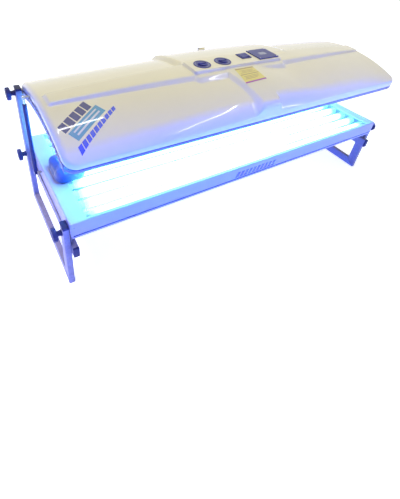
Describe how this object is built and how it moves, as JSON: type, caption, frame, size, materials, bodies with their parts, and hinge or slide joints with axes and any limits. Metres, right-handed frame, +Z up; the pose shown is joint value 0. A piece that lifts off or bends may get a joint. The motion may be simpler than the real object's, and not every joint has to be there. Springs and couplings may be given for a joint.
{
  "type": "clamshell tanning bed",
  "caption": "Lamp bench between two tube end frames, with a curved lamp hood hinged at the back on gas struts, a control island and a head pillow.",
  "frame": {"origin": "On the floor under the middle of the bed's bounding box.", "axes": "+X along the bed from the pillow end to the foot end, +Y toward the hinge side, +Z up."},
  "size_m": [2.0512, 0.68, 0.7893],
  "materials": {
    "frame_paint": "taupe-grey powder coat on welded steel tube",
    "black_plastic": "fine-textured black moulded plastic",
    "bench_paint": "satin cream-grey powder coat on sheet steel",
    "zinc_steel": "bright zinc-plated steel",
    "clear_acrylic": "clear UV-transmitting acrylic sheet, polished",
    "reflector_sheet": "bright anodised reflector sheet",
    "lamp_cap_metal": "plain aluminium lamp caps",
    "lamp_glass": "white-coated fluorescent lamp glass",
    "holder_plastic": "white moulded plastic",
    "ballast_steel": "grey lacquered laminated steel",
    "hood_plastic": "glossy ivory vacuum-formed plastic",
    "seal_rubber": "black rubber edge strip",
    "end_plate_paint": "grey powder coat",
    "socket_plastic": "cream moulded plastic",
    "strut_paint": "gloss black lacquered steel tube",
    "control_plastic": "navy moulded plastic",
    "window_glass": "tinted display window",
    "pillow_vinyl": "smooth glossy navy vinyl"
  },
  "bodies": {
    "root": {"near_rear_post": "frame_paint", "near_front_post": "frame_paint", "near_floor_bar": "frame_paint", "far_rear_post": "frame_paint", "far_front_post": "frame_paint", "far_floor_bar": "frame_paint", "cross_tubes": "frame_paint", "tube_caps": "black_plastic", "mains_gland": "black_plastic", "bench_surround": "bench_paint", "bench_tray": "bench_paint", "gear_box": "bench_paint", "bench_end_panels": "bench_paint", "clamp_bushes": "zinc_steel", "surround_screws": "zinc_steel", "strut_foot_studs": "zinc_steel", "bench_acrylic": "clear_acrylic", "bench_reflector": "reflector_sheet", "bench_lamp_caps": "lamp_cap_metal", "bench_starters": "lamp_cap_metal", "bench_lamp_tubes": "lamp_glass", "bench_lampholders": "holder_plastic", "bench_ballasts": "ballast_steel"},
    "hood": {"hood_shell": "hood_plastic", "control_plate": "hood_plastic", "hood_cable_cover": "hood_plastic", "hood_cable_gland": "black_plastic", "hood_gasket": "seal_rubber", "hood_end_plates": "end_plate_paint", "hood_front_rail": "end_plate_paint", "hood_rear_rail": "end_plate_paint", "socket_rings": "socket_plastic", "hood_acrylic": "clear_acrylic", "hood_reflector": "reflector_sheet", "hood_lamp_tubes": "lamp_glass", "hood_lamp_caps": "lamp_cap_metal", "hood_lampholders": "holder_plastic", "hood_ballasts": "ballast_steel", "hinge_brackets": "zinc_steel", "strut_head_studs": "zinc_steel", "timer_dial_plates": "control_plastic", "timer_movements": "holder_plastic", "switch_frame": "control_plastic", "display_panel": "control_plastic", "display_window": "window_glass", "display_screws": "zinc_steel"},
    "near_strut_cylinder": {"near_strut_cylinder": "strut_paint"},
    "near_strut_rod": {"near_strut_rod": "zinc_steel"},
    "near_hinge_knob": {"near_hinge_knob": "black_plastic"},
    "near_rear_knob": {"near_rear_knob": "black_plastic"},
    "near_front_knob": {"near_front_knob": "black_plastic"},
    "far_strut_cylinder": {"far_strut_cylinder": "strut_paint"},
    "far_strut_rod": {"far_strut_rod": "zinc_steel"},
    "far_hinge_knob": {"far_hinge_knob": "black_plastic"},
    "far_rear_knob": {"far_rear_knob": "black_plastic"},
    "far_front_knob": {"far_front_knob": "black_plastic"},
    "near_timer_knob": {"near_timer_knob": "control_plastic"},
    "far_timer_knob": {"far_timer_knob": "control_plastic"},
    "switch_rocker": {"switch_rocker": "control_plastic"},
    "head_pillow": {"head_pillow": "pillow_vinyl"}
  },
  "joints": [
    {"name": "hood_tilt", "type": "hinge", "parent": "root", "child": "hood", "pos_m": [0, 0.281, 0.633], "axis": [-1, 0, 0], "range_deg": [0, 45]},
    {"name": "near_strut_swing", "type": "hinge", "parent": "root", "child": "near_strut_cylinder", "pos_m": [-0.982, 0.125, 0.292], "axis": [-1, 0, 0], "range_deg": [-0.1, 10.63]},
    {"name": "near_strut_extend", "type": "slide", "parent": "near_strut_cylinder", "child": "near_strut_rod", "axis": [0, -0.0251, 0.9997], "range_m": [-0.0005, 0.1078]},
    {"name": "near_hinge_knob_turn", "type": "hinge", "parent": "root", "child": "near_hinge_knob", "pos_m": [-0.9876, 0.281, 0.633], "axis": [-1, 0, 0], "continuous": true},
    {"name": "near_rear_knob_turn", "type": "hinge", "parent": "root", "child": "near_rear_knob", "pos_m": [-0.9876, 0.281, 0.302], "axis": [-1, 0, 0], "continuous": true},
    {"name": "near_front_knob_turn", "type": "hinge", "parent": "root", "child": "near_front_knob", "pos_m": [-0.9876, -0.288, 0.302], "axis": [-1, 0, 0], "continuous": true},
    {"name": "far_strut_swing", "type": "hinge", "parent": "root", "child": "far_strut_cylinder", "pos_m": [0.982, 0.125, 0.292], "axis": [-1, 0, 0], "range_deg": [-0.1, 10.63]},
    {"name": "far_strut_extend", "type": "slide", "parent": "far_strut_cylinder", "child": "far_strut_rod", "axis": [0, -0.0251, 0.9997], "range_m": [-0.0005, 0.1078]},
    {"name": "far_hinge_knob_turn", "type": "hinge", "parent": "root", "child": "far_hinge_knob", "pos_m": [0.9876, 0.281, 0.633], "axis": [1, 0, 0], "continuous": true},
    {"name": "far_rear_knob_turn", "type": "hinge", "parent": "root", "child": "far_rear_knob", "pos_m": [0.9876, 0.281, 0.302], "axis": [1, 0, 0], "continuous": true},
    {"name": "far_front_knob_turn", "type": "hinge", "parent": "root", "child": "far_front_knob", "pos_m": [0.9876, -0.288, 0.302], "axis": [1, 0, 0], "continuous": true},
    {"name": "near_timer_knob_turn", "type": "hinge", "parent": "hood", "child": "near_timer_knob", "pos_m": [-0.209, -0.016, 0.784], "axis": [0, 0, -1], "range_deg": [0, 300]},
    {"name": "far_timer_knob_turn", "type": "hinge", "parent": "hood", "child": "far_timer_knob", "pos_m": [-0.09, -0.016, 0.784], "axis": [0, 0, -1], "range_deg": [0, 300]},
    {"name": "rocker_tip", "type": "hinge", "parent": "hood", "child": "switch_rocker", "pos_m": [0.058, 0.004, 0.7815], "axis": [0, 1, 0], "range_deg": [0, 9.9]},
    {"name": "pillow_lift", "type": "slide", "parent": "root", "child": "head_pillow", "axis": [0, 0, 1], "range_m": [0, 0.15]}
  ],
  "couplings": [
    {"joint": "near_strut_swing", "follows": "hood_tilt", "ratio": 0.23184},
    {"joint": "near_strut_extend", "follows": "hood_tilt", "m_per_rad": 0.13594},
    {"joint": "far_strut_swing", "follows": "hood_tilt", "ratio": 0.23184},
    {"joint": "far_strut_extend", "follows": "hood_tilt", "m_per_rad": 0.13594}
  ]
}
